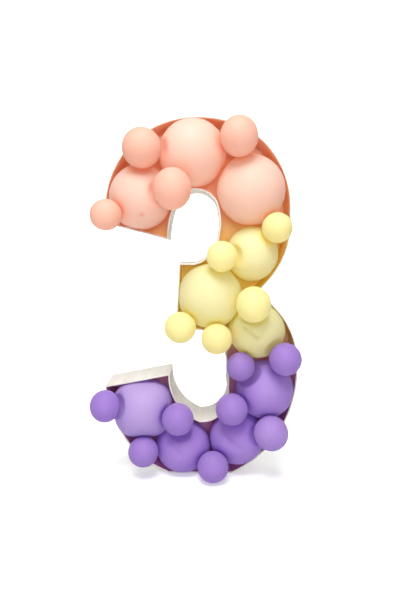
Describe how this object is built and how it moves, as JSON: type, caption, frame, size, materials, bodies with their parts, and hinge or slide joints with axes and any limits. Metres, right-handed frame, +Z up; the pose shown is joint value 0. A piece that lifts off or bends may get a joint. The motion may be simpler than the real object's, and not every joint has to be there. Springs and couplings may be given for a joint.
{
  "type": "balloon mosaic numeral",
  "caption": "Standing numeral 3: an open-fronted board tray packed with peach, yellow and lilac latex balloons, large ones inside and small ones nestled on top.",
  "frame": {"origin": "middle of the flat foot that the numeral stands on, half way between the front rim and the back face", "axes": "+Z up, +X to the right seen from the front, the open front faces -Y and the back panel faces +Y"},
  "size_m": [0.701, 0.3056, 1.2003],
  "materials": {
    "board": "matte",
    "glue": "satin",
    "latex_peach_large": "satin",
    "latex_peach_small": "satin",
    "latex_yellow_large": "satin",
    "latex_yellow_small": "satin",
    "latex_lilac_large": "satin",
    "latex_lilac_small": "satin"
  },
  "bodies": {
    "root": {"back_panel": "board", "balloon_large_lilac_foot_left": "latex_lilac_large", "balloon_large_lilac_foot_right": "latex_lilac_large", "balloon_large_lilac_right": "latex_lilac_large", "balloon_large_lilac_terminal": "latex_lilac_large", "balloon_large_peach_left": "latex_peach_large", "balloon_large_peach_right": "latex_peach_large", "balloon_large_peach_top": "latex_peach_large", "balloon_large_yellow_arm": "latex_yellow_large", "balloon_large_yellow_lower": "latex_yellow_large", "balloon_large_yellow_waist": "latex_yellow_large", "balloon_small_lilac_counter": "latex_lilac_small", "balloon_small_lilac_foot": "latex_lilac_small", "balloon_small_lilac_inner": "latex_lilac_small", "balloon_small_lilac_lower_left": "latex_lilac_small", "balloon_small_lilac_right": "latex_lilac_small", "balloon_small_lilac_tip": "latex_lilac_small", "balloon_small_lilac_upper": "latex_lilac_small", "balloon_small_lilac_upper_right": "latex_lilac_small", "balloon_small_peach_inner": "latex_peach_small", "balloon_small_peach_tip": "latex_peach_small", "balloon_small_peach_upper_left": "latex_peach_small", "balloon_small_peach_upper_right": "latex_peach_small", "balloon_small_yellow_arm_below": "latex_yellow_small", "balloon_small_yellow_arm_left": "latex_yellow_small", "balloon_small_yellow_lower": "latex_yellow_small", "balloon_small_yellow_right": "latex_yellow_small", "balloon_small_yellow_waist": "latex_yellow_small", "glue_dots": "glue", "glue_seam_beads": "glue", "wall_arm_end": "board", "wall_lower_counter": "board", "wall_lower_outer": "board", "wall_lower_terminal": "board", "wall_upper_counter": "board", "wall_upper_outer": "board", "wall_upper_terminal": "board"}
  },
  "joints": []
}
